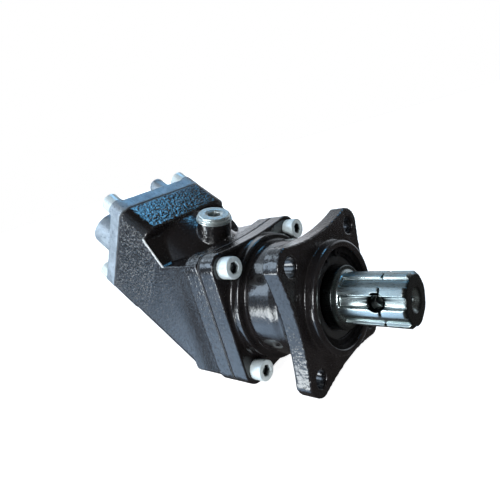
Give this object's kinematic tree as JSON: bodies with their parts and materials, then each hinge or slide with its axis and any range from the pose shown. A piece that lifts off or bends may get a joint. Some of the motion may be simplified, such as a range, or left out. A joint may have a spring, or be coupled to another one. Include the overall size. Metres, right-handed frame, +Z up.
{
  "type": "bent-axis hydraulic motor",
  "caption": "Bent-axis axial piston hydraulic motor with a four-bolt pilot flange, splined shaft, angled barrel housing and two ports on the back of the rear cover.",
  "frame": {"origin": "centre of the mounting flange's front face, on the shaft axis", "axes": "+X along the shaft, out of the flange; +Z up, on the side to which the barrel housing bends; +Y to the left when looking along +X"},
  "size_m": [0.2807, 0.1066, 0.1652],
  "materials": {
    "black_paint": "glossy black paint over sand-cast iron",
    "cast_aluminium": "silver-grey cast, slightly rough",
    "zinc": "bright zinc plated",
    "ground_steel": "machined and ground",
    "dark_steel": "phosphated",
    "bronze": "machined bronze",
    "gasket": "dark fibre gasket",
    "rubber": "nitrile rubber"
  },
  "bodies": {
    "housing": {"front_housing": "black_paint", "main_housing": "black_paint", "rear_cover": "cast_aluminium", "housing_gasket": "gasket", "cover_gasket": "gasket", "filler_plug": "zinc", "plug_washer": "zinc", "housing_screws": "zinc", "cover_screws": "zinc", "front_bearing_cup": "ground_steel", "rear_bearing_cup": "ground_steel", "seal_carrier": "dark_steel", "carrier_oring": "rubber", "shaft_seal": "rubber", "retaining_ring": "dark_steel", "valve_plate": "bronze", "valve_pin": "dark_steel"},
    "shaft": {"drive_shaft": "ground_steel", "shaft_nut": "dark_steel", "bearing_spacer": "dark_steel", "front_bearing_cone": "ground_steel", "rear_bearing_cone": "ground_steel", "retainer_plate": "dark_steel", "retainer_screws": "dark_steel"},
    "barrel": {"cylinder_barrel": "ground_steel", "centre_pin": "ground_steel", "disc_springs": "dark_steel"},
    "front_rollers": {"front_bearing_rollers": "ground_steel", "front_bearing_cage": "dark_steel"},
    "rear_rollers": {"rear_bearing_rollers": "ground_steel", "rear_bearing_cage": "dark_steel"},
    "cup_1": {"ball_cup_1": "bronze"},
    "piston_1_body": {"piston_1": "ground_steel", "piston_ring_1": "dark_steel"},
    "cup_2": {"ball_cup_2": "bronze"},
    "piston_2_body": {"piston_2": "ground_steel", "piston_ring_2": "dark_steel"},
    "cup_3": {"ball_cup_3": "bronze"},
    "piston_3_body": {"piston_3": "ground_steel", "piston_ring_3": "dark_steel"},
    "cup_4": {"ball_cup_4": "bronze"},
    "piston_4_body": {"piston_4": "ground_steel", "piston_ring_4": "dark_steel"},
    "cup_5": {"ball_cup_5": "bronze"},
    "piston_5_body": {"piston_5": "ground_steel", "piston_ring_5": "dark_steel"},
    "cup_6": {"ball_cup_6": "bronze"},
    "piston_6_body": {"piston_6": "ground_steel", "piston_ring_6": "dark_steel"},
    "cup_7": {"ball_cup_7": "bronze"},
    "piston_7_body": {"piston_7": "ground_steel", "piston_ring_7": "dark_steel"}
  },
  "joints": [
    {"name": "shaft_spin", "type": "hinge", "parent": "housing", "child": "shaft", "pos_m": [0, 0, 0], "axis": [1, 0, 0], "continuous": true},
    {"name": "barrel_spin", "type": "hinge", "parent": "housing", "child": "barrel", "pos_m": [-0.107, 0, 0], "axis": [0.766, 0, -0.6428], "continuous": true},
    {"name": "front_rollers_spin", "type": "hinge", "parent": "housing", "child": "front_rollers", "pos_m": [-0.028, 0, 0], "axis": [1, 0, 0], "continuous": true},
    {"name": "rear_rollers_spin", "type": "hinge", "parent": "housing", "child": "rear_rollers", "pos_m": [-0.068, 0, 0], "axis": [1, 0, 0], "continuous": true},
    {"name": "cup_1_turn", "type": "hinge", "parent": "shaft", "child": "cup_1", "pos_m": [-0.107, 0, 0.031], "axis": [1, 0, 0], "continuous": true},
    {"name": "piston_1_swing", "type": "hinge", "parent": "cup_1", "child": "piston_1_body", "pos_m": [-0.107, 0, 0.031], "axis": [0.766, 0, -0.6428], "continuous": true},
    {"name": "cup_2_turn", "type": "hinge", "parent": "shaft", "child": "cup_2", "pos_m": [-0.107, -0.02424, 0.01933], "axis": [1, 0, 0], "continuous": true},
    {"name": "piston_2_swing", "type": "hinge", "parent": "cup_2", "child": "piston_2_body", "pos_m": [-0.107, -0.02424, 0.01933], "axis": [0.766, 0, -0.6428], "continuous": true},
    {"name": "cup_3_turn", "type": "hinge", "parent": "shaft", "child": "cup_3", "pos_m": [-0.107, -0.03022, -0.0069], "axis": [1, 0, 0], "continuous": true},
    {"name": "piston_3_swing", "type": "hinge", "parent": "cup_3", "child": "piston_3_body", "pos_m": [-0.107, -0.03022, -0.0069], "axis": [0.766, 0, -0.6428], "continuous": true},
    {"name": "cup_4_turn", "type": "hinge", "parent": "shaft", "child": "cup_4", "pos_m": [-0.107, -0.01345, -0.02793], "axis": [1, 0, 0], "continuous": true},
    {"name": "piston_4_swing", "type": "hinge", "parent": "cup_4", "child": "piston_4_body", "pos_m": [-0.107, -0.01345, -0.02793], "axis": [0.766, 0, -0.6428], "continuous": true},
    {"name": "cup_5_turn", "type": "hinge", "parent": "shaft", "child": "cup_5", "pos_m": [-0.107, 0.01345, -0.02793], "axis": [1, 0, 0], "continuous": true},
    {"name": "piston_5_swing", "type": "hinge", "parent": "cup_5", "child": "piston_5_body", "pos_m": [-0.107, 0.01345, -0.02793], "axis": [0.766, 0, -0.6428], "continuous": true},
    {"name": "cup_6_turn", "type": "hinge", "parent": "shaft", "child": "cup_6", "pos_m": [-0.107, 0.03022, -0.0069], "axis": [1, 0, 0], "continuous": true},
    {"name": "piston_6_swing", "type": "hinge", "parent": "cup_6", "child": "piston_6_body", "pos_m": [-0.107, 0.03022, -0.0069], "axis": [0.766, 0, -0.6428], "continuous": true},
    {"name": "cup_7_turn", "type": "hinge", "parent": "shaft", "child": "cup_7", "pos_m": [-0.107, 0.02424, 0.01933], "axis": [1, 0, 0], "continuous": true},
    {"name": "piston_7_swing", "type": "hinge", "parent": "cup_7", "child": "piston_7_body", "pos_m": [-0.107, 0.02424, 0.01933], "axis": [0.766, 0, -0.6428], "continuous": true}
  ],
  "couplings": [
    {"joint": "barrel_spin", "follows": "shaft_spin", "ratio": 1},
    {"joint": "front_rollers_spin", "follows": "shaft_spin", "ratio": 0.4555},
    {"joint": "rear_rollers_spin", "follows": "shaft_spin", "ratio": 0.44093},
    {"joint": "cup_1_turn", "follows": "shaft_spin", "ratio": -1},
    {"joint": "piston_1_swing", "follows": "shaft_spin", "ratio": -1},
    {"joint": "cup_2_turn", "follows": "shaft_spin", "ratio": -1},
    {"joint": "piston_2_swing", "follows": "shaft_spin", "ratio": -1},
    {"joint": "cup_3_turn", "follows": "shaft_spin", "ratio": -1},
    {"joint": "piston_3_swing", "follows": "shaft_spin", "ratio": -1},
    {"joint": "cup_4_turn", "follows": "shaft_spin", "ratio": -1},
    {"joint": "piston_4_swing", "follows": "shaft_spin", "ratio": -1},
    {"joint": "cup_5_turn", "follows": "shaft_spin", "ratio": -1},
    {"joint": "piston_5_swing", "follows": "shaft_spin", "ratio": -1},
    {"joint": "cup_6_turn", "follows": "shaft_spin", "ratio": -1},
    {"joint": "piston_6_swing", "follows": "shaft_spin", "ratio": -1},
    {"joint": "cup_7_turn", "follows": "shaft_spin", "ratio": -1},
    {"joint": "piston_7_swing", "follows": "shaft_spin", "ratio": -1}
  ]
}
